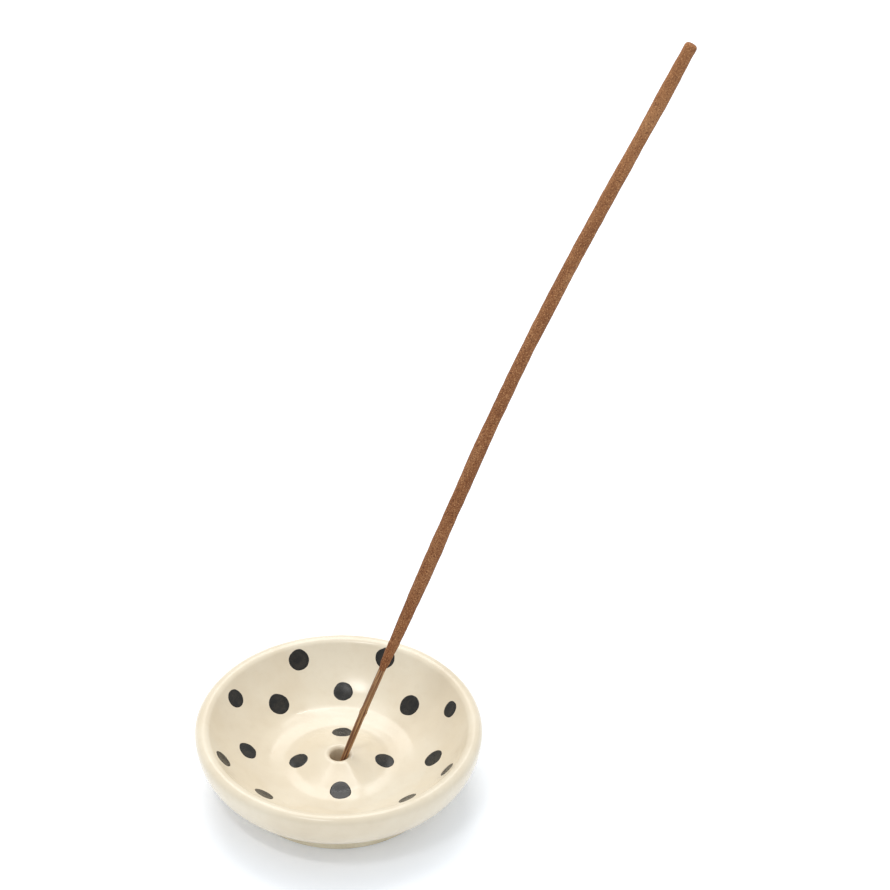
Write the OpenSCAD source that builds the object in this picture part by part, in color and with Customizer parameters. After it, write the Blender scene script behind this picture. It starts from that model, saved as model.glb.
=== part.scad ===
// Incense burner: a small wheel-thrown dish with a pierced hill in the middle,
// hand-painted spots inside, and a hand-rolled incense stick leaning in the hole.
// Units are millimetres, +Z is up, and the origin is the centre of the foot's resting plane.

/* [Dish] */
// Diameter over the widest point of the rim
dish_d = 80; // [76:1:86]
// Height from the table to the top of the rim
dish_h = 21.5; // [21:0.1:23]
// Radius of the rolled rim's round section
rim_r = 2.25; // [1.8:0.05:2.4]
// Radius of the outer wall's curve below the rim
wall_r = 13.6; // [12:0.1:14]
// How far round that curve goes before the wall runs straight to the foot, in degrees
wall_turn = 51.4; // [48:0.1:54]

/* [Foot] */
// Outer radius of the foot ring
foot_r = 28; // [26.5:0.1:29]
// Width of the foot ring where it rests
foot_w = 4.5; // [3:0.5:6]
// Depth of the turned hollow under the foot
foot_recess = 1.6; // [1:0.1:2]
// Bevel round the foot's outer edge
foot_bevel = 0.5; // [0.2:0.1:1]

/* [Inside of the bowl] */
// Steepness of the inner wall where it meets the rim, in degrees
wall_top_slope = 56; // [52:1:60]
// Steepness of the inner wall where it meets the floor's curve, in degrees
wall_foot_slope = 34.8; // [33:0.1:37]
// Radius of the inner wall's long curve
wall_in_r = 36; // [34:0.5:37]
// Radius of the curve from the wall down to the lowest ring of the floor
floor_r = 19.3; // [18:0.1:20]
// Radius of the curve from the lowest ring up to the hill
hill_foot_r = 11.5; // [9:0.5:12]
// Steepness of the hill's side, in degrees
hill_slope = 18.5; // [16:0.5:20]

/* [Stick hole] */
// Radius of the hole in the hill
hole_r = 2.6; // [2.5:0.05:2.8]
// Height of the hole's blind end above the table
hole_bottom = 3.8; // [3.4:0.1:3.8]
// Radius of the hole's rounded lip
lip_r = 1.2; // [1:0.05:1.2]

/* [Glaze and paint] */
// Thickness of the glaze
glaze_t = 0.25; // [0.15:0.05:0.35]
// Height above the table where the glaze was wiped off
glaze_line = 3.8; // [3.7:0.1:4.4]
// How far the painted spots stand proud of the glaze
paint_t = 0.06; // [0.04:0.01:0.1]
// How far the painted spots are sunk into the glaze
paint_sunk = 0.04; // [0.02:0.01:0.08]
// Diameter of a painted spot
spot_d = 5.6; // [4:0.1:6]
// Distance of the four hill spots from the middle
hill_ring = 12.1; // [11.5:0.1:13]
// Distance of the eight lower wall spots from the middle
lower_ring = 26.6; // [25:0.1:27]
// Distance of the eight upper wall spots from the middle
upper_ring = 33.6; // [33:0.1:34]
// How far the two wall rings are turned, in degrees
ring_turn = -2.5; // [-5:0.5:5]
// How much the hand-painted spots stray from even places: 0 for none, 1 as painted
stray = 1; // [0:0.1:1]

/* [Incense stick] */
// Length of the whole stick along its bend
stick_len = 242; // [200:1:280]
// Diameter of the bamboo core
core_d = 1.8; // [1.5:0.05:1.8]
// Diameter of the rolled incense coat
coat_d = 3.6; // [3:0.1:4]
// Diameter of the coat where it starts
coat_start_d = 2.3; // [2.1:0.1:2.6]
// Length of bare bamboo below the coat
bare_len = 37; // [30:1:50]
// Length over which the coat thickens
coat_taper = 22; // [10:1:30]
// Lean of the stick in the hole, from upright, in degrees
lean = 20.2; // [19.5:0.1:20.5]
// Direction in which the stick leans, from +X towards +Y, in degrees
lean_way = 20; // [10:1:25]
// Radius of the stick's slight bend
bend_r = 1640; // [1400:10:4000]

/* [Hidden] */
$fn = 128;

// Fine steps for the stick's long bend, and a plainer round for its section
bend_fn = 256;
rod_fn = 48;
// How far the core's end stays below the tip of the coat
core_inset = 1.6;
// Corner radius and height of the coat's blunt tip
tip_corner = 0.8;
tip_h = 1.4;
// The coat's taper and tip start this far inside its round rod, and this much smaller
coat_lap = 0.3;
coat_step = 0.04;
// The bamboo's lower end, which stands in the hole a little off its middle
stick_foot = [-0.45, -1.18, 4.3];
// Half width of the band of bowl surface that a ring of spots is cut from
spot_band = spot_d / 2 + 0.4;
// How far each spot strays from its even place: degrees anticlockwise, millimetres outwards
hill_strays = [[0.5, 0.6], [-3, -0.4], [1.5, -0.7], [2.5, 0.4]];
lower_strays = [[-2.5, -0.2], [2, 0.8], [1, -0.4], [-2, 0.1], [-0.5, -1], [-1.5, 0.5], [0, 0], [2, 0.8]];
upper_strays = [[0.5, -0.5], [3.5, 0.7], [0.5, 0.3], [-3.5, -0.3], [-3.5, -0.4], [0, 0], [0, 0], [1, -0.7]];
// How far round the bowl that band goes for one spot, in degrees
spot_sweep = 40;
// How much the edge of a spot flares, as a share of its diameter
spot_flare = 0.01;

// A unit step up and inwards, square to a surface that rises outwards at this slope
function up_in(slope) = [-sin(slope), cos(slope)];
// The point on a circle in the given direction
function on(c, r, a) = c + r * [cos(a), sin(a)];

// Centres of the section's arcs, each placed so that it runs smoothly into the one before
rim_c = [dish_d / 2 - rim_r, dish_h - rim_r];
wall_c = [dish_d / 2 - wall_r, rim_c.y];
wall_in_c = rim_c + (rim_r + wall_in_r) * up_in(wall_top_slope);
floor_c = wall_in_c - (wall_in_r - floor_r) * up_in(wall_foot_slope);
hill_foot_c = floor_c + [0, hill_foot_r - floor_r];
hill_foot = hill_foot_c + hill_foot_r * [-sin(hill_slope), -cos(hill_slope)];
lip_x = hole_r + lip_r;
lip_c = [lip_x, hill_foot.y + (hill_foot.x - lip_x - lip_r * sin(hill_slope)) * tan(hill_slope)
                - lip_r * cos(hill_slope)];

// Where the wall's straight run meets the foot, when the section is grown by t
function foot_top(t) =
    let (p = on(wall_c, wall_r + t, -wall_turn))
    p.y - (p.x - foot_r) * tan(90 - wall_turn);

// The piece of a circle between an arc and its chord
module segment(c, r, a0, a1) {
    intersection() {
        translate(c) circle(r);
        polygon([on(c, r, a0), for (k = [0 : 4]) on(c, 2 * r, a0 + (a1 - a0) * k / 4), on(c, r, a1)]);
    }
}

// Half of the dish's section with every surface moved outwards by t
module section(t) {
    difference() {
        union() {
            polygon([
                [0, foot_recess],
                [foot_r - foot_bevel - foot_w - 1, foot_recess],
                [foot_r - foot_bevel - foot_w, 0],
                [foot_r - foot_bevel, 0],
                [foot_r, foot_bevel],
                [foot_r, foot_top(t)],
                on(wall_c, wall_r + t, -wall_turn),
                on(wall_c, wall_r + t, 0),
                on(rim_c, rim_r + t, 90 + wall_top_slope),
                on(wall_in_c, wall_in_r - t, wall_foot_slope - 90),
                on(floor_c, floor_r - t, -90),
                on(hill_foot_c, hill_foot_r - t, -90 - hill_slope),
                on(lip_c, lip_r + t, 90 - hill_slope),
                [hole_r - t, lip_c.y],
                [hole_r - t, hole_bottom + t],
                [0, hole_bottom + t]
            ]);
            segment(wall_c, wall_r + t, -wall_turn, 0);
            segment(rim_c, rim_r + t, 0, 90 + wall_top_slope);
            segment(lip_c, lip_r + t, 90 - hill_slope, 180);
        }
        segment(wall_in_c, wall_in_r - t, wall_foot_slope - 90, wall_top_slope - 90);
        segment(floor_c, floor_r - t, -90, wall_foot_slope - 90);
        segment(hill_foot_c, hill_foot_r - t, -90 - hill_slope, -90);
    }
}

// The fired clay: wall, rolled rim, floor, pierced hill and foot ring in one piece
module clay_body() {
    color([0.80, 0.72, 0.58]) rotate_extrude() section(-glaze_t);
}

// The glaze: a thin skin over the clay, from the wiped line over the rim and down the hole
module glaze_coat() {
    color([0.95, 0.91, 0.82]) rotate_extrude() intersection() {
        difference() {
            section(0);
            section(-glaze_t);
        }
        translate([0, glaze_line]) square([dish_d, dish_h]);
    }
}

// Slope of the bowl's surface at a distance from the middle, downhill from the hole being negative
function slope_at(r) =
    r < hill_foot.x + hill_foot_r * 0.1 ? -hill_slope :
    r < floor_c.x + floor_r * sin(wall_foot_slope) ? asin((r - floor_c.x) / floor_r) :
    asin((r - wall_in_c.x) / wall_in_r);

// Height of the bowl's surface at a distance from the middle
function height_at(r) =
    r < hill_foot.x + hill_foot_r * 0.1 ? hill_foot.y + (hill_foot.x - r) * tan(hill_slope) :
    r < floor_c.x + floor_r * sin(wall_foot_slope) ? floor_c.y - floor_r * cos(slope_at(r)) :
    wall_in_c.y - wall_in_r * cos(slope_at(r));

// A painted spot at a distance from the middle: a thin film in the glaze, cut to a disc square to it
module spot(r) {
    intersection() {
        rotate(-spot_sweep / 2) rotate_extrude(angle = spot_sweep) intersection() {
            difference() {
                section(paint_t);
                section(-paint_sunk);
            }
            translate([r - spot_band, hole_bottom]) square([2 * spot_band, dish_h]);
        }
        translate([r, 0, height_at(r)]) rotate([0, -slope_at(r), 0])
            cylinder(d1 = spot_d * (1 - spot_flare), d2 = spot_d * (1 + spot_flare), h = spot_d / 2,
                     center = true);
    }
}

// A ring of painted spots, evenly spaced but for the strays of the hand that painted them
module spot_ring(ring, first, strays) {
    color([0.16, 0.15, 0.14]) for (k = [0 : len(strays) - 1])
        rotate(first + k * 360 / len(strays) + stray * strays[k][0]) spot(ring + stray * strays[k][1]);
}

// The four spots on the hill round the hole
module hill_spots() { spot_ring(hill_ring, 0, hill_strays); }

// The eight spots low on the wall
module lower_spots() { spot_ring(lower_ring, ring_turn, lower_strays); }

// The eight spots high on the wall, between the lower ones
module upper_spots() { spot_ring(upper_ring, 22.5 + ring_turn, upper_strays); }

// Turn of the bend, in degrees, after a length of stick
function turned(len) = len / bend_r * 180 / PI;

// Moves its children to the point a length along the stick, facing along it with a further tilt
module on_stick(len, tilt = 0) {
    translate(stick_foot) rotate([0, 0, lean_way]) rotate([0, lean, 0])
        translate(bend_r * [1 - cos(turned(len)), 0, sin(turned(len))])
            rotate([0, turned(len) + tilt, 0]) children();
}

// A round rod that follows the bend between two lengths along the stick
module bent_rod(d, from, to) {
    translate(stick_foot) rotate([0, 0, lean_way]) rotate([0, lean, 0])
        translate([bend_r, 0, 0]) rotate([90, 0, 0]) rotate([0, 0, 180 - turned(to)])
            rotate_extrude(angle = turned(to - from), $fn = bend_fn)
                translate([bend_r, 0]) circle(d = d, $fn = rod_fn);
}

// The bamboo splint in the middle of the stick
module bamboo_core() {
    color([0.62, 0.45, 0.29]) bent_rod(core_d, 0, stick_len - core_inset);
}

// The incense paste rolled on the bamboo: a tapered start, a long even coat and a blunt round tip
module incense_coat() {
    coat_full = bare_len + coat_taper;
    color([0.50, 0.34, 0.24]) difference() {
        union() {
            on_stick(bare_len, turned(coat_taper) / 2)
                cylinder(d1 = coat_start_d, d2 = coat_d - 2 * coat_step, h = coat_taper + coat_lap,
                         $fn = rod_fn);
            bent_rod(coat_d, coat_full, stick_len - tip_h);
            on_stick(stick_len - tip_h) tip();
        }
        bent_rod(core_d, bare_len - 1, stick_len - core_inset);
    }
}

// The coat's blunt end with its rounded edge, starting just inside the rod
module tip() {
    edge_r = coat_d / 2 - coat_step;
    rotate_extrude($fn = rod_fn) {
        translate([0, -coat_lap]) square([edge_r, tip_h - tip_corner + coat_lap]);
        square([edge_r - tip_corner, tip_h]);
        intersection() {
            translate([edge_r - tip_corner, tip_h - tip_corner]) circle(tip_corner);
            square([coat_d, tip_h]);
        }
    }
}

clay_body();
glaze_coat();
hill_spots();
lower_spots();
upper_spots();
bamboo_core();
incense_coat();
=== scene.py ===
"""The looks of an incense burner: a glazed, spotted dish and the incense stick that leans in it.

Lengths are in metres, and MM turns millimetres into metres. The angles named below and those along the
dish's outline are in degrees. Slopes that functions give back and angles round the axis, a spot or the
stick are in radians. The outline follows the same arcs as the solid does, so the two lie on each other.
"""

import math

import bpy
from mathutils import Matrix, Vector, noise

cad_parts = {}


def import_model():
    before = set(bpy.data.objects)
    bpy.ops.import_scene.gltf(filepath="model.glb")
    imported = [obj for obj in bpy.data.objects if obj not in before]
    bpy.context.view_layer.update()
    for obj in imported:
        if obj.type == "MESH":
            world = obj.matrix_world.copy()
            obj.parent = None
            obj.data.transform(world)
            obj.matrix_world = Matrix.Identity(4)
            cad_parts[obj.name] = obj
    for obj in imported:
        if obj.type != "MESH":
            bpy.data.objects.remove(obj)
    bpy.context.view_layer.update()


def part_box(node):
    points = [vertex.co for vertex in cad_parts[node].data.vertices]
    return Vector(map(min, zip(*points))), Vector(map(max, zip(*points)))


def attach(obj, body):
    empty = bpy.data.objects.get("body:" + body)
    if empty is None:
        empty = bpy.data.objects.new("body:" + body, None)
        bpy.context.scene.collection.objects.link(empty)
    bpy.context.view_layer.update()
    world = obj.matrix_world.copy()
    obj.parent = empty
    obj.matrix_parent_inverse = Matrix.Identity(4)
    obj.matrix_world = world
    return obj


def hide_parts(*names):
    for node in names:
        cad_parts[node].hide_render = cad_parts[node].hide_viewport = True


MM = 0.001

# The dish's arcs, as its solid has them
RIM_R = 2.25 * MM
WALL_R = 13.6 * MM
WALL_TURN = 51.4
FOOT_R = 28 * MM
FOOT_W = 4.5 * MM
FOOT_RECESS = 1.6 * MM
FOOT_BEVEL = 0.5 * MM
WALL_TOP_SLOPE = 56
WALL_FOOT_SLOPE = 34.8
WALL_IN_R = 36 * MM
FLOOR_R = 19.3 * MM
HILL_FOOT_R = 11.5 * MM
HILL_SLOPE = 18.5
HOLE_R = 2.6 * MM
HOLE_BOTTOM = 3.8 * MM
LIP_R = 1.2 * MM
GLAZE_T = 0.25 * MM
GLAZE_LINE = 3.8 * MM
# How deep the skin of glaze reaches into the clay, so that no gap shows between them
GLAZE_SINK = 0.03 * MM
# How many steps the dish has round its axis, and how near the axis a point counts as on it
DISH_SIDES = 300
ON_AXIS = 1e-7

# The thrown surface: how far it strays and over what distance, broadly and finely
BROAD_STRAY, BROAD_REACH = 0.10 * MM, 22 * MM
SMALL_STRAY, SMALL_REACH = 0.03 * MM, 6 * MM
# The potter's finger ridges round the hill: between which distances from the middle they rise and
# fade, how far apart they are, how high they are and over what distance their height changes
RIDGES_RISE = (12 * MM, 14 * MM)
RIDGES_FADE = (22 * MM, 29 * MM)
RIDGE_STEP = 3.9 * MM
RIDGE_HEIGHT = 0.04 * MM
RIDGE_CHANGE = 9 * MM

# The painted spots: their radius, and how far the middle stands proud of the glaze, the underside lies
# sunk in it and the rounded edge dips
SPOT_R = 2.87 * MM
SPOT_PROUD = 0.05 * MM
SPOT_SUNK = 0.05 * MM
SPOT_EDGE_DIP = 0.012 * MM
SPOT_RINGS, SPOT_SIDES = 9, 56
# Each ring of spots: distance from the middle and first place, then for each spot how far it strays from
# its even place in degrees and outwards in millimetres, and its size against the others
HILL_RING = (12.1 * MM, 0, ((0.5, 0.6, 1), (-3, -0.4, 1.05), (1.5, -0.7, 1), (2.5, 0.4, 1.07)))
LOWER_RING = (26.6 * MM, -2.5, (
    (-2.5, -0.2, 1.05), (2, 0.8, 1.1), (1, -0.4, 1), (-2, 0.1, 1.13),
    (-0.5, -1, 1), (-1.5, 0.5, 1.03), (0, 0, 1), (2, 0.8, 0.96),
))
UPPER_RING = (33.6 * MM, 20, (
    (0.5, -0.5, 0.88), (3.5, 0.7, 1.05), (0.5, 0.3, 1.08), (-3.5, -0.3, 0.97),
    (-3.5, -0.4, 1), (0, 0, 1), (0, 0, 1), (1, -0.7, 0.85),
))

# The stick: where its lower end stands, its bend, and what is on it
STICK_FOOT = Vector((-0.45, -1.18, 4.3)) * MM
STICK_LEN = 242 * MM
LEAN = 20.2
LEAN_WAY = 20
BEND_R = 1640 * MM
CORE_R = 0.9 * MM
BARE_LEN = 37 * MM
CORE_INSET = 1.6 * MM
ROD_SIDES = 40
# The splint has fine steps where it shows and a few coarse ones inside the coat
CORE_FINE_STEP, CORE_FINE_STEPS, CORE_COARSE_STEPS = 0.5 * MM, 90, 24
COAT_STEP = 0.38 * MM
COAT_BORE = CORE_R + 0.04 * MM
COAT_BORE_STEPS = 24
COAT_TIP = 1.1 * MM
# Half widths of the rolled coat in millimetres, by millimetres along the stick
COAT_WIDTHS = (
    (37, 1.05), (40, 1.2), (47, 1.45), (55, 1.7), (66, 1.9), (78, 1.88), (90, 1.8), (106, 1.9),
    (124, 1.78), (150, 1.75), (170, 1.8), (186, 1.82), (200, 1.78), (212, 1.72), (226, 1.84), (240, 1.7),
)
# How far the dried stick bows to either side in millimetres, by share of its length
STICK_BOWS = ((0.03, 0), (0.25, 0.6), (0.61, -0.8), (0.91, -0.2), (1.02, -0.6))

# Where the camera stands, how far down it looks along +Y, and its focal length in millimetres
CAMERA_AT = Vector((0.0296, -0.9741, 0.8769))
CAMERA_DOWN = 37.85
CAMERA_LENS = 188.2

# How far the studio floor reaches to each side
FLOOR_REACH = 6.0


# ---------------------------------------------------------------- outline of the dish


def on(centre, radius, angle):
    """The point on a circle in a direction."""
    a = math.radians(angle)
    return Vector((centre[0] + radius * math.cos(a), centre[1] + radius * math.sin(a)))


def up_in(slope):
    """A unit step up and inwards, square to a surface that rises outwards at this slope."""
    return Vector((-math.sin(math.radians(slope)), math.cos(math.radians(slope))))


class Arcs:
    """Centres of the outline's arcs, each placed so that it runs smoothly into the one before."""

    def __init__(self, radius, height):
        self.rim = Vector((radius - RIM_R, height - RIM_R))
        self.wall = Vector((radius - WALL_R, self.rim.y))
        self.wall_in = self.rim + (RIM_R + WALL_IN_R) * up_in(WALL_TOP_SLOPE)
        self.floor = self.wall_in - (WALL_IN_R - FLOOR_R) * up_in(WALL_FOOT_SLOPE)
        self.hill_foot = self.floor + Vector((0, HILL_FOOT_R - FLOOR_R))
        self.hill_low = on(self.hill_foot, HILL_FOOT_R, -90 - HILL_SLOPE)
        lip_x = HOLE_R + LIP_R
        slope = math.radians(HILL_SLOPE)
        run = self.hill_low.x - lip_x - LIP_R * math.sin(slope)
        self.lip = Vector((lip_x, self.hill_low.y + run * math.tan(slope) - LIP_R * math.cos(slope)))

    def bowl(self, r):
        """Height of the bowl's surface, and its slope in radians, at a distance from the middle."""
        if r < self.hill_low.x:
            slope = math.radians(HILL_SLOPE)
            return self.hill_low.y + (self.hill_low.x - r) * math.tan(slope), -slope
        if r < self.floor.x:
            slope = math.asin((r - self.hill_foot.x) / HILL_FOOT_R)
            return self.hill_foot.y - HILL_FOOT_R * math.cos(slope), slope
        if r < self.floor.x + FLOOR_R * math.sin(math.radians(WALL_FOOT_SLOPE)):
            slope = math.asin((r - self.floor.x) / FLOOR_R)
            return self.floor.y - FLOOR_R * math.cos(slope), slope
        slope = math.asin((r - self.wall_in.x) / WALL_IN_R)
        return self.wall_in.y - WALL_IN_R * math.cos(slope), slope


def arc(centre, radius, start, end, step):
    """Points along an arc, about one step apart."""
    count = max(3, round(abs(math.radians(end - start)) * radius / step))
    return [on(centre, radius, start + (end - start) * k / count) for k in range(count + 1)]


def line(start, end, step):
    """Points between two points, about one step apart, without the first and the last."""
    count = max(2, round((end - start).length / step))
    return [start.lerp(end, k / count) for k in range(1, count)]


def upper_outline(arcs, grow, step=0.35 * MM):
    """The outline from the hole's bottom over hill, floor, wall and rim to the outer wall's straight run."""
    wall_in_r, floor_r, hill_foot_r = WALL_IN_R - grow, FLOOR_R - grow, HILL_FOOT_R - grow
    lip = arc(arcs.lip, LIP_R + grow, 180, 90 - HILL_SLOPE, step / 2)
    hill = arc(arcs.hill_foot, hill_foot_r, -90 - HILL_SLOPE, -90, step)
    corner = Vector((HOLE_R - grow, HOLE_BOTTOM + grow))
    points = [Vector((0, corner.y))] + line(Vector((0, corner.y)), corner, step) + [corner]
    points += line(corner, lip[0], step) + lip + line(lip[-1], hill[0], step) + hill
    points += arc(arcs.floor, floor_r, -90, WALL_FOOT_SLOPE - 90, step)[1:]
    points += arc(arcs.wall_in, wall_in_r, WALL_FOOT_SLOPE - 90, WALL_TOP_SLOPE - 90, step)[1:]
    points += arc(arcs.rim, RIM_R + grow, 90 + WALL_TOP_SLOPE, 0, step / 2)[1:]
    points += arc(arcs.wall, WALL_R + grow, 0, -WALL_TURN, step)[1:]
    return points


def wall_at(arcs, grow, height):
    """The point on the outer wall's straight run at a height."""
    top = on(arcs.wall, WALL_R + grow, -WALL_TURN)
    run = (top.y - height) / math.tan(math.radians(90 - WALL_TURN))
    return Vector((top.x - run, height))


def foot_outline(arcs, grow, step=0.5 * MM):
    """The outline from the outer wall's straight run down round the foot ring to the middle."""
    top = on(arcs.wall, WALL_R + grow, -WALL_TURN)
    meet = Vector((FOOT_R, top.y - (top.x - FOOT_R) * math.tan(math.radians(90 - WALL_TURN))))
    rest_out, rest_in = FOOT_R - FOOT_BEVEL, FOOT_R - FOOT_BEVEL - FOOT_W
    corners = [top, meet, Vector((FOOT_R, FOOT_BEVEL)), Vector((rest_out, 0)), Vector((rest_in, 0))]
    corners += [Vector((rest_in - 1 * MM, FOOT_RECESS)), Vector((0, FOOT_RECESS))]
    points = []
    for start, end in zip(corners, corners[1:]):
        points += line(start, end, step) + [end]
    return points


# ---------------------------------------------------------------- hand-made irregularity


def smooth(low, high, value):
    """0 below low, 1 above high, and a smooth step between."""
    t = min(1, max(0, (value - low) / (high - low)))
    return t * t * (3 - 2 * t)


def through(points, at):
    """The value at a place on a smooth line through (place, value) points."""
    if at <= points[0][0]:
        return points[0][1]
    for (a, low), (b, high) in zip(points, points[1:]):
        if at <= b:
            return low + (high - low) * smooth(a, b, at)
    return points[-1][1]


def throwing_rings(place):
    """Shallow spiral ridges that the potter's fingers left round the hill, in metres."""
    r = math.hypot(place.x, place.y)
    above_the_foot = smooth(4 * MM, 5 * MM, place.z)
    shown = smooth(*RIDGES_RISE, r) * (1 - smooth(*RIDGES_FADE, r)) * above_the_foot
    spiral = r / RIDGE_STEP - math.atan2(place.y, place.x) / (2 * math.pi)
    uneven = 0.6 + 0.8 * noise.noise(place / RIDGE_CHANGE)
    return RIDGE_HEIGHT * shown * uneven * math.cos(2 * math.pi * spiral)


def thrown(place):
    """How far the hand-thrown surface strays outwards at a place, in metres."""
    broad = BROAD_STRAY * noise.noise(place / BROAD_REACH)
    small = SMALL_STRAY * noise.noise(place / SMALL_REACH + Vector((3, 7, 1)))
    clear_of_table = smooth(0.5 * MM, 5 * MM, place.z)
    clear_of_hole = smooth(2.5 * MM, 6 * MM, math.hypot(place.x, place.y))
    return (broad + small) * clear_of_table * clear_of_hole + throwing_rings(place)


# ---------------------------------------------------------------- mesh builders


def new_piece(name, verts, faces, material):
    """A smooth-shaded mesh object with one material."""
    mesh = bpy.data.meshes.new(name)
    mesh.from_pydata([tuple(v) for v in verts], [], faces)
    mesh.materials.append(material)
    mesh.validate()
    mesh.shade_smooth()
    piece = bpy.data.objects.new(name, mesh)
    bpy.context.scene.collection.objects.link(piece)
    return piece


def store(piece, name, values, kind="FLOAT"):
    """Keeps one value or vector per vertex for the material to read."""
    attribute = piece.data.attributes.new(name, kind, "POINT")
    for item, value in zip(attribute.data, values):
        if kind == "FLOAT":
            item.value = value
        else:
            item.vector = value


def outline_normals(points):
    """The outward unit normal of an outline that runs with the solid on its right-hand side."""
    last = len(points) - 1
    normals = []
    for k in range(last + 1):
        along = (points[min(k + 1, last)] - points[max(k - 1, 0)]).normalized()
        normals.append(Vector((-along.y, along.x)))
    return normals


def lathe(name, points, material):
    """Turns an outline round the axis with the surface strayed by hand. Ends on the axis become poles."""
    turns = DISH_SIDES
    verts, faces, rows = [], [], []
    for point, normal in zip(points, outline_normals(points)):
        if point.x < ON_AXIS:
            rows.append([len(verts)])
            verts.append(Vector((0, 0, point.y)))
            continue
        rows.append(list(range(len(verts), len(verts) + turns)))
        for k in range(turns):
            a = 2 * math.pi * k / turns
            place = Vector((point.x * math.cos(a), point.x * math.sin(a), point.y))
            out = Vector((normal.x * math.cos(a), normal.x * math.sin(a), normal.y))
            verts.append(place + out * thrown(place))
    for low, high in zip(rows, rows[1:]):
        for k in range(turns):
            n = (k + 1) % turns
            if len(low) == 1 and len(high) > 1:
                faces.append((low[0], high[k], high[n]))
            elif len(high) == 1 and len(low) > 1:
                faces.append((low[n], low[k], high[0]))
            elif len(low) > 1:
                faces.append((low[k], high[k], high[n], low[n]))
    return new_piece(name, verts, faces, material)


# ---------------------------------------------------------------- the dish


def make_clay(arcs, material):
    """The fired clay under the glaze, bare on the foot."""
    points = upper_outline(arcs, -GLAZE_T) + foot_outline(arcs, -GLAZE_T)
    piece = lathe("clay", points, material)
    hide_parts("clay_body")
    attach(piece, "dish")


def make_glaze(arcs, material):
    """The glaze: a skin over the clay, with a rounded edge along the wiped line."""
    outer = upper_outline(arcs, 0)
    rounded_edge = [
        wall_at(arcs, 0, GLAZE_LINE + 0.25 * MM),
        wall_at(arcs, -0.15 * GLAZE_T, GLAZE_LINE + 0.08 * MM),
        wall_at(arcs, -0.6 * GLAZE_T, GLAZE_LINE),
    ]
    outer += line(outer[-1], rounded_edge[0], 0.5 * MM) + rounded_edge
    depth = -GLAZE_T - GLAZE_SINK
    inner = upper_outline(arcs, depth, step=0.8 * MM)
    inner += [wall_at(arcs, depth, GLAZE_LINE + 0.05 * MM)]
    piece = lathe("glaze", outer + inner[::-1], material)
    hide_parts("glaze_coat")
    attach(piece, "dish")


def brushed(angle, seed):
    """How far a brushed spot's outline strays outwards at an angle, as a share of its radius."""
    broad = noise.noise(Vector((math.cos(angle), math.sin(angle), seed * 2.3)) * 1.1) * 0.055
    fine = noise.noise(Vector((math.cos(angle), math.sin(angle), seed * 1.9)) * 3.1) * 0.02
    return broad + fine


def onto_bowl(arcs, flat, lift):
    """The place on the thrown bowl above or below a point, lifted off the surface along its normal."""
    r = math.hypot(flat.x, flat.y)
    z, tilt = arcs.bowl(r)
    base = Vector((flat.x, flat.y, z))
    outwards = Vector((flat.x / r, flat.y / r, 0))
    normal = Vector((0, 0, math.cos(tilt))) - outwards * math.sin(tilt)
    return base + normal * (thrown(base) + lift)


def spot_side(arcs, ring, turn, size, seed, lift_at):
    """One side of a spot, as its middle and its rings, and each vertex's share of the way to the edge."""
    height, slope = arcs.bowl(ring)
    a = math.radians(turn)
    out, across = Vector((math.cos(a), math.sin(a), 0)), Vector((-math.sin(a), math.cos(a), 0))
    uphill = out * math.cos(slope) + Vector((0, 0, math.sin(slope)))
    centre = out * ring + Vector((0, 0, height))
    verts, edges = [onto_bowl(arcs, centre, lift_at(0))], [0]
    for k in range(1, SPOT_RINGS + 1):
        share = k / SPOT_RINGS
        for j in range(SPOT_SIDES):
            angle = 2 * math.pi * j / SPOT_SIDES
            reach = SPOT_R * size * share * (1 + brushed(angle, seed))
            flat = centre + uphill * (reach * math.cos(angle)) + across * (reach * math.sin(angle))
            verts.append(onto_bowl(arcs, flat, lift_at(share)))
            edges.append(share)
    return verts, edges


def spot_faces(top, under):
    """The faces between a spot's upper and lower side, whose vertices start at these two numbers."""
    faces = []
    last = 1 + (SPOT_RINGS - 1) * SPOT_SIDES
    for j in range(SPOT_SIDES):
        n = (j + 1) % SPOT_SIDES
        faces.append((top, top + 1 + j, top + 1 + n))
        faces.append((under, under + 1 + n, under + 1 + j))
        for low in range(1, last, SPOT_SIDES):
            high = low + SPOT_SIDES
            faces.append((top + low + j, top + high + j, top + high + n, top + low + n))
            faces.append((under + low + n, under + high + n, under + high + j, under + low + j))
        faces.append((top + last + j, under + last + j, under + last + n, top + last + n))
    return faces


def upper_lift(share):
    """How far a spot's upper side stands off the glaze, by share of the way to its edge."""
    return SPOT_PROUD * (1 - share**6) - SPOT_EDGE_DIP * share**12


def lower_lift(_share):
    """How far a spot's lower side stands off the glaze: it is sunk everywhere alike."""
    return -SPOT_SUNK


def make_spots(arcs, name, node, ring, material):
    """One ring of painted spots as one piece."""
    distance, start, strays = ring
    verts, faces, edges = [], [], []
    for k, (turned, outwards, size) in enumerate(strays):
        turn = start + k * 360 / len(strays) + turned
        seed = distance / MM + k * 3.7
        sides = []
        for lift_at in (upper_lift, lower_lift):
            side_verts, side_edges = spot_side(arcs, distance + outwards * MM, turn, size, seed, lift_at)
            sides.append(len(verts))
            verts += side_verts
            edges += side_edges
        faces += spot_faces(*sides)
    piece = new_piece(name, verts, faces, material)
    store(piece, "edge", edges)
    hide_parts(node)
    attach(piece, "dish")


# ---------------------------------------------------------------- the stick


def stick_frame(length):
    """Centre and two sideways directions of the stick at a length along it."""
    turn = Matrix.Rotation(math.radians(LEAN_WAY), 3, "Z") @ Matrix.Rotation(math.radians(LEAN), 3, "Y")
    a = length / BEND_R
    side = Vector((math.cos(a), 0, -math.sin(a)))
    centre = Vector((BEND_R * (1 - math.cos(a)), 0, BEND_R * math.sin(a)))
    centre += side * through(STICK_BOWS, length / STICK_LEN) * MM
    return STICK_FOOT + turn @ centre, turn @ side, turn @ Vector((0, 1, 0))


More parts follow.
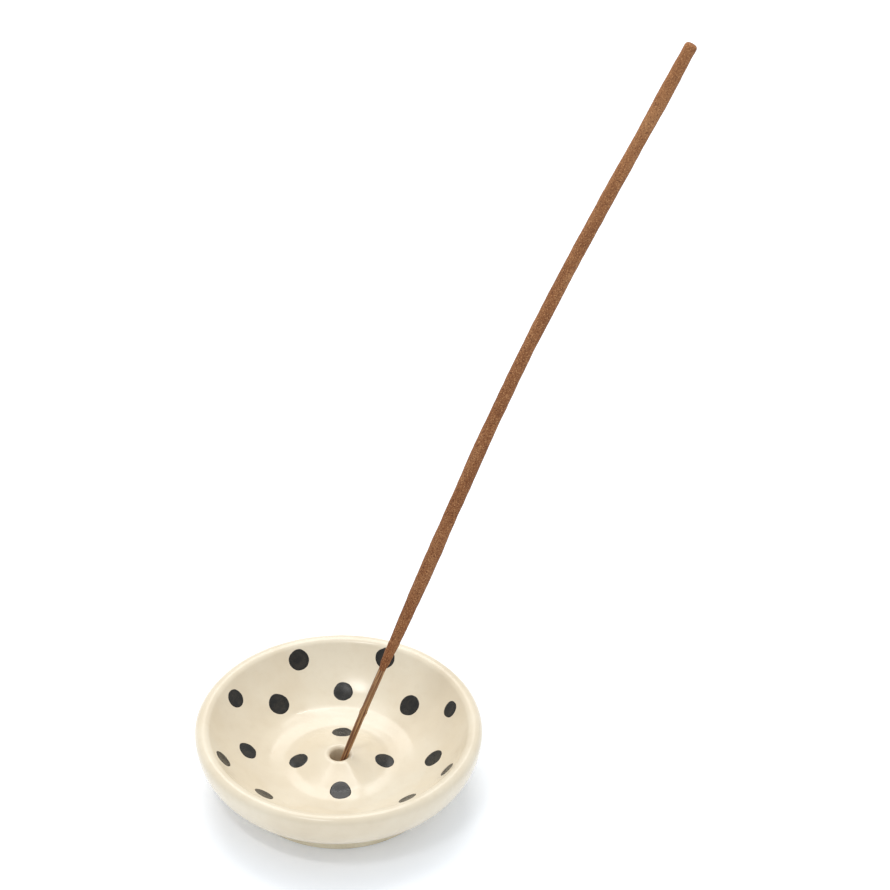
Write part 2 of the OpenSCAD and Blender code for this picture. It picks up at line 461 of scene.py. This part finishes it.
class RodMesh:
    """The vertices and faces of a round rod that follows the stick, built ring by ring."""

    def __init__(self):
        self.verts, self.faces, self.rest = [], [], []

    def ring(self, length, radius_at):
        """Adds a ring of vertices at a length, and gives the number of its first one."""
        centre, side, other = stick_frame(length)
        start = len(self.verts)
        for k in range(ROD_SIDES):
            a = 2 * math.pi * k / ROD_SIDES
            r = radius_at(length, a)
            self.verts.append(centre + side * (r * math.cos(a)) + other * (r * math.sin(a)))
            self.rest.append(Vector((r * math.cos(a), r * math.sin(a), length)))
        return start

    def band(self, low, high):
        """Joins two rings with faces that look outwards when the second is higher up."""
        for k in range(ROD_SIDES):
            n = (k + 1) % ROD_SIDES
            self.faces.append((low + k, low + n, high + n, high + k))

    def cap(self, start, length, upwards):
        """Closes a ring with a fan of faces round the stick's centre."""
        centre, _side, _other = stick_frame(length)
        middle = len(self.verts)
        self.verts.append(centre)
        self.rest.append(Vector((0, 0, length)))
        for k in range(ROD_SIDES):
            n = (k + 1) % ROD_SIDES
            pair = (start + k, start + n) if upwards else (start + n, start + k)
            self.faces.append((*pair, middle))

    def hollow(self, foot_ring, foot, bore):
        """Opens the rod's foot and bores it from there to just past the splint's upper end."""
        top = STICK_LEN - CORE_INSET + 0.1 * MM
        depths = [foot + (top - foot) * k / COAT_BORE_STEPS for k in range(COAT_BORE_STEPS + 1)]
        rings = [self.ring(length, lambda _length, _angle: bore) for length in depths]
        self.band(rings[0], foot_ring)
        for low, high in zip(rings, rings[1:]):
            self.band(high, low)
        self.cap(rings[-1], depths[-1], upwards=False)


def rod(name, material, stations, radius_at, bore=None):
    """A closed round rod along the stick, whose radius depends on length and angle, solid or bored."""
    mesh = RodMesh()
    rings = [mesh.ring(length, radius_at) for length in stations]
    for low, high in zip(rings, rings[1:]):
        mesh.band(low, high)
    mesh.cap(rings[-1], stations[-1], upwards=True)
    if bore is None:
        mesh.cap(rings[0], stations[0], upwards=False)
    else:
        mesh.hollow(rings[0], stations[0], bore)
    piece = new_piece(name, mesh.verts, mesh.faces, material)
    store(piece, "rest", mesh.rest, "FLOAT_VECTOR")
    return piece


def core_radius(length, angle):
    """The split bamboo: nearly round, with lengthwise fibre ridges, a faint joint and a worn lower end."""
    ridge = noise.noise(Vector((math.cos(angle) * 2.6, math.sin(angle) * 2.6, length / (30 * MM))))
    fine = noise.noise(Vector((math.cos(angle) * 7, math.sin(angle) * 7, length / (12 * MM))))
    joint = 0.16 * MM * math.exp(-(((length - 22 * MM) / (0.9 * MM)) ** 2))
    worn = 0.10 * MM * (1 - smooth(0, 1.2 * MM, length))
    swell = 0.07 * MM * smooth(7 * MM, 12 * MM, length)
    return CORE_R - 0.04 * MM + 0.05 * MM * ridge + 0.025 * MM * fine + joint + swell - worn


def make_core(material):
    """The bamboo splint, fine where it shows and coarse inside the coat."""
    stations = [CORE_FINE_STEP * k for k in range(CORE_FINE_STEPS)]
    start, hidden = stations[-1], STICK_LEN - CORE_INSET - stations[-1]
    stations += [start + hidden * (k + 1) / CORE_COARSE_STEPS for k in range(CORE_COARSE_STEPS)]
    piece = rod("bamboo", material, stations, core_radius)
    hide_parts("bamboo_core")
    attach(piece, "stick")


def coat_radius(length, angle):
    """The rolled paste: uneven by hand, ragged where it starts, grainy all over, with a blunt round tip."""
    place = Vector((math.cos(angle), math.sin(angle), 0))
    base = through(COAT_WIDTHS, length / MM) * MM
    flat = noise.noise(place * 0.7 + Vector((0, 0, length / (16 * MM)))) * 0.13 * MM
    lumps = noise.noise(place * 1.4 + Vector((5, 0, length / (3.2 * MM)))) * 0.09 * MM
    grain = noise.noise(place * 5 + Vector((0, 9, length / (0.75 * MM)))) * 0.035 * MM
    ragged = noise.noise(place * 1.6 + Vector((2, 2, length / (1.6 * MM)))) * 0.16 * MM
    ragged *= 1 - smooth(38 * MM, 52 * MM, length)
    start = smooth(BARE_LEN - 0.2 * MM, BARE_LEN + 3 * MM, length)
    radius = CORE_R + 0.06 * MM + (base - CORE_R) * start + (flat + lumps + grain + ragged) * start
    from_tip = (STICK_LEN - length) / COAT_TIP
    if from_tip < 1:
        radius *= math.sqrt(max(0.0, 1 - (1 - from_tip) ** 2)) * 0.3 + 0.7
    return max(radius, CORE_R + 0.03 * MM)


def make_coat(material):
    """The incense paste rolled on the bamboo."""
    stations, length = [], BARE_LEN
    while length < STICK_LEN - COAT_TIP - 0.1 * MM:
        stations.append(length)
        length += COAT_STEP
    stations += [STICK_LEN - COAT_TIP * (1 - k / 8) ** 1.5 for k in range(9)]
    piece = rod("incense", material, stations, coat_radius, bore=COAT_BORE)
    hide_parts("incense_coat")
    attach(piece, "stick")


# ---------------------------------------------------------------- materials


def srgb(red, green, blue):
    """A colour given as 0 to 255 screen values, as linear light."""
    def linear(value):
        c = value / 255
        return c / 12.92 if c <= 0.04045 else ((c + 0.055) / 1.055) ** 2.4
    return (linear(red), linear(green), linear(blue), 1)


class Nodes:
    """A small helper round one material's node tree."""

    def __init__(self, name):
        self.material = bpy.data.materials.new(name)
        self.material.use_nodes = True
        self.tree = self.material.node_tree
        self.shader = self.tree.nodes["Principled BSDF"]

    def add(self, kind, **settings):
        """A new node with these settings."""
        node = self.tree.nodes.new(kind)
        for key, value in settings.items():
            setattr(node, key, value)
        return node

    def link(self, source, target):
        """Joins an output socket to an input socket."""
        self.tree.links.new(source, target)

    def set(self, **values):
        """Sets shader sockets by name, with underscores for spaces."""
        for key, value in values.items():
            self.shader.inputs[key.replace("_", " ")].default_value = value

    def place(self, scale=(1, 1, 1), attribute=None):
        """Object coordinates, or a stored attribute, scaled."""
        if attribute:
            source = self.add("ShaderNodeAttribute", attribute_name=attribute).outputs["Vector"]
        else:
            source = self.add("ShaderNodeTexCoord").outputs["Object"]
        mapping = self.add("ShaderNodeMapping")
        mapping.inputs["Scale"].default_value = scale
        self.link(source, mapping.inputs["Vector"])
        return mapping.outputs["Vector"]

    def noise(self, vector, scale, detail=4, roughness=0.55):
        """Soft noise between 0 and 1, finer with a larger scale."""
        node = self.add("ShaderNodeTexNoise")
        node.inputs["Scale"].default_value = scale
        node.inputs["Detail"].default_value = detail
        node.inputs["Roughness"].default_value = roughness
        self.link(vector, node.inputs["Vector"])
        return node.outputs["Fac"]

    def ramp(self, value, stops):
        """A colour ramp from (position, colour) pairs."""
        node = self.add("ShaderNodeValToRGB")
        elements = node.color_ramp.elements
        while len(elements) < len(stops):
            elements.new(0.5)
        for element, (position, colour) in zip(elements, stops):
            element.position = position
            element.color = colour
        self.link(value, node.inputs["Fac"])
        return node.outputs["Color"]

    def span(self, value, low, high, to_low, to_high):
        """Carries a value from one span to another, clamped."""
        node = self.add("ShaderNodeMapRange")
        ends = {"From Min": low, "From Max": high, "To Min": to_low, "To Max": to_high}
        for name, number in ends.items():
            node.inputs[name].default_value = number
        self.link(value, node.inputs["Value"])
        return node.outputs["Result"]

    def mix(self, fac, first, second):
        """Mixes two colours, each a socket or a fixed colour."""
        node = self.add("ShaderNodeMix", data_type="RGBA")
        for socket, value in ((node.inputs[0], fac), (node.inputs[6], first), (node.inputs[7], second)):
            if isinstance(value, (tuple, float, int)):
                socket.default_value = value
            else:
                self.link(value, socket)
        return node.outputs[2]

    def bump(self, height, distance, strength, after=None):
        """A bumped normal, on top of another one if that is given. The distance is in metres."""
        node = self.add("ShaderNodeBump")
        node.inputs["Distance"].default_value = distance
        node.inputs["Strength"].default_value = strength
        self.link(height, node.inputs["Height"])
        if after is not None:
            self.link(after, node.inputs["Normal"])
        return node.outputs["Normal"]


def glaze_material():
    """Cream gloss glaze: a soft cloudy tone, faint darker specks and a slightly uneven gloss."""
    n = Nodes("cream_glaze")
    place = n.place()
    clouds = n.noise(place, 45, 3)
    colour = n.ramp(clouds, [
        (0.35, srgb(217, 202, 176)),
        (0.5, srgb(222, 208, 183)),
        (0.66, srgb(227, 215, 192)),
    ])
    fine = n.noise(place, 420, 5, 0.65)
    colour = n.mix(n.span(fine, 0.5, 0.72, 0, 0.12), colour, srgb(200, 180, 148))
    n.link(colour, n.shader.inputs["Base Color"])
    n.link(n.span(n.noise(place, 160, 3), 0.3, 0.7, 0.16, 0.24), n.shader.inputs["Roughness"])
    normal = n.bump(n.noise(place, 260, 1), 0.00002, 0.1)
    n.link(normal, n.shader.inputs["Normal"])
    n.set(IOR=1.5)
    return n.material


def paint_material():
    """Near-black iron pigment under gloss, browner where the brush left it thin; the paler brown mottling in
    each spot's middle is partly thin paint and partly a painted sheen.
    """
    n = Nodes("iron_spots")
    place = n.place()
    body = n.ramp(n.noise(place, 600, 4), [(0.3, srgb(18, 16, 12)), (0.7, srgb(36, 33, 27))])
    edge = n.add("ShaderNodeAttribute", attribute_name="edge").outputs["Fac"]
    # Paler brown mottling in each spot's middle, fading out towards its rim: partly paint the brush left
    # thin, partly a painted sheen.
    stroke_and_sheen_mottle = n.span(n.noise(place, 330, 2), 0.48, 0.66, 0, 0.35)
    thin_paint_and_sheen = n.mix(n.span(edge, 0.55, 0.85, 1, 0), (0, 0, 0, 1), stroke_and_sheen_mottle)
    colour = n.mix(thin_paint_and_sheen, body, srgb(66, 58, 47))
    colour = n.mix(n.span(edge, 0.93, 1.0, 0, 0.5), colour, srgb(74, 52, 38))
    n.link(colour, n.shader.inputs["Base Color"])
    n.link(n.span(n.noise(place, 300, 3), 0.3, 0.7, 0.22, 0.32), n.shader.inputs["Roughness"])
    n.link(n.bump(n.noise(place, 900, 4), 0.00003, 0.6), n.shader.inputs["Normal"])
    n.set(IOR=1.42)
    return n.material


def clay_material():
    """Bare fired clay: warm tan with sandy grains and turning lines."""
    n = Nodes("bare_clay")
    place = n.place()
    tone = n.ramp(n.noise(place, 180, 5), [(0.3, srgb(212, 198, 168)), (0.7, srgb(232, 220, 194))])
    grains = n.noise(place, 1800, 3)
    colour = n.mix(n.span(grains, 0.6, 0.72, 0, 0.35), tone, srgb(176, 154, 120))
    n.link(colour, n.shader.inputs["Base Color"])
    turning = n.noise(n.place((1, 1, 30)), 60, 3)
    normal = n.bump(turning, 0.00008, 0.5)
    normal = n.bump(grains, 0.00006, 0.8, normal)
    n.link(normal, n.shader.inputs["Normal"])
    n.set(Roughness=0.82)
    return n.material


def bamboo_material():
    """Split bamboo: lengthwise streaks from tan to reddish brown, and a fibrous bump."""
    n = Nodes("split_bamboo")
    streaks = n.noise(n.place((1, 1, 0.02), "rest"), 1500, 4, 0.7)
    colour = n.ramp(streaks, [
        (0.34, srgb(58, 30, 16)),
        (0.45, srgb(112, 68, 38)),
        (0.55, srgb(190, 146, 96)),
        (0.66, srgb(104, 60, 32)),
    ])
    blotches = n.noise(n.place((1, 1, 0.3), "rest"), 260, 4)
    colour = n.mix(n.span(blotches, 0.45, 0.65, 0, 0.6), colour, srgb(96, 54, 28))
    n.link(colour, n.shader.inputs["Base Color"])
    n.link(n.bump(streaks, 0.00012, 0.8), n.shader.inputs["Normal"])
    n.set(Roughness=0.62)
    return n.material


def incense_material():
    """Dry incense paste: powdery brown with dark and pale grains, deeper low down and paler near the tip."""
    n = Nodes("incense_paste")
    place = n.place(attribute="rest")
    tone = n.ramp(n.noise(n.place((1, 1, 0.3), "rest"), 240, 3), [
        (0.3, srgb(124, 76, 44)),
        (0.5, srgb(142, 92, 56)),
        (0.7, srgb(158, 110, 72)),
    ])
    dark_tone, pale_tone = srgb(84, 42, 22), srgb(206, 152, 104)
    dark, pale = n.noise(place, 2600, 2), n.noise(place, 3100, 2)
    colour = n.mix(n.span(dark, 0.5, 0.64, 0, 0.85), tone, dark_tone)
    colour = n.mix(n.span(pale, 0.54, 0.68, 0, 0.8), colour, pale_tone)
    split = n.add("ShaderNodeSeparateXYZ")
    n.link(place, split.inputs["Vector"])
    length = split.outputs["Z"]
    colour = n.mix(n.span(length, 0.05, 0.14, 0.14, 0), colour, dark_tone)
    colour = n.mix(n.span(length, 0.12, 0.24, 0, 0.16), colour, pale_tone)
    n.link(colour, n.shader.inputs["Base Color"])
    normal = n.bump(dark, 0.0001, 0.8)
    normal = n.bump(n.noise(place, 3600, 3), 0.00006, 0.8, normal)
    n.link(normal, n.shader.inputs["Normal"])
    n.set(Roughness=0.93, Specular_IOR_Level=0.25)
    return n.material


def floor_material():
    """Plain white studio floor, lit a little from within so that the shadow stays pale."""
    n = Nodes("studio_floor")
    tone = n.ramp(n.noise(n.place(), 3), [(0, (0.93, 0.94, 0.955, 1)), (1, (0.95, 0.957, 0.97, 1))])
    n.link(tone, n.shader.inputs["Base Color"])
    n.set(Roughness=0.9, Specular_IOR_Level=0.1)
    n.set(Emission_Color=(0.66, 0.78, 1.0, 1), Emission_Strength=0.12)
    return n.material


# ---------------------------------------------------------------- the studio


def make_floor():
    """A wide pale floor at the foot's resting plane."""
    reach = FLOOR_REACH
    verts = [(-reach, -reach, 0), (reach, -reach, 0), (reach, reach, 0), (-reach, reach, 0)]
    floor = new_piece("floor", verts, [(0, 1, 2, 3)], floor_material())


def area_light(name, at, target, size, power, colour):
    """A soft rectangular light that points at a target."""
    data = bpy.data.lights.new(name, "AREA")
    data.shape = "RECTANGLE"
    data.size, data.size_y = size
    data.energy = power
    data.color = colour
    light = bpy.data.objects.new(name, data)
    light.location = at
    light.rotation_euler = (Vector(target) - Vector(at)).to_track_quat("-Z", "Y").to_euler()
    bpy.context.scene.collection.objects.link(light)


def make_lights(target):
    """A softbox high behind, a dim one and a strip overhead, a small window in front, pale surroundings."""
    warm, white = (1.0, 0.985, 0.96), (1.0, 1.0, 1.0)
    area_light("softbox", (-0.06, 0.58, 0.86), target, (0.70, 0.46), 3.3, warm)
    area_light("overhead", (-0.05, 0.16, 1.05), target, (0.80, 0.34), 1.1, warm)
    area_light("top_strip", (0.0, 0.28, 0.96), target, (0.60, 0.03), 1.2, white)
    area_light("window", (-0.21, -0.38, 0.90), target, (0.22, 0.06), 1.2, white)
    world = bpy.data.worlds.new("studio")
    world.use_nodes = True
    background = world.node_tree.nodes["Background"]
    background.inputs["Color"].default_value = (0.91, 0.955, 1.0, 1)
    background.inputs["Strength"].default_value = 0.80
    bpy.context.scene.world = world


def make_camera():
    """The photo's view: from the front and well above, with a long lens."""
    data = bpy.data.cameras.new("camera")
    data.sensor_width = 36
    data.lens = CAMERA_LENS
    data.clip_start, data.clip_end = 0.05, 50
    camera = bpy.data.objects.new("camera", data)
    camera.location = CAMERA_AT
    camera.rotation_euler = (math.radians(90 - CAMERA_DOWN), 0, 0)
    bpy.context.scene.collection.objects.link(camera)
    bpy.context.scene.camera = camera


def main():
    """Builds the visual layer over the CAD model, and the studio round it."""
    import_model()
    bpy.context.scene.view_settings.view_transform = "Standard"

    low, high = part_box("glaze_coat")
    arcs = Arcs(radius=(high.x - low.x) / 2, height=high.z)
    make_clay(arcs, clay_material())
    make_glaze(arcs, glaze_material())
    paint = paint_material()
    make_spots(arcs, "spots_hill", "hill_spots", HILL_RING, paint)
    make_spots(arcs, "spots_lower", "lower_spots", LOWER_RING, paint)
    make_spots(arcs, "spots_upper", "upper_spots", UPPER_RING, paint)
    make_core(bamboo_material())
    make_coat(incense_material())

    make_floor()
    make_lights((0, 0, 0.012))
    make_camera()


main()
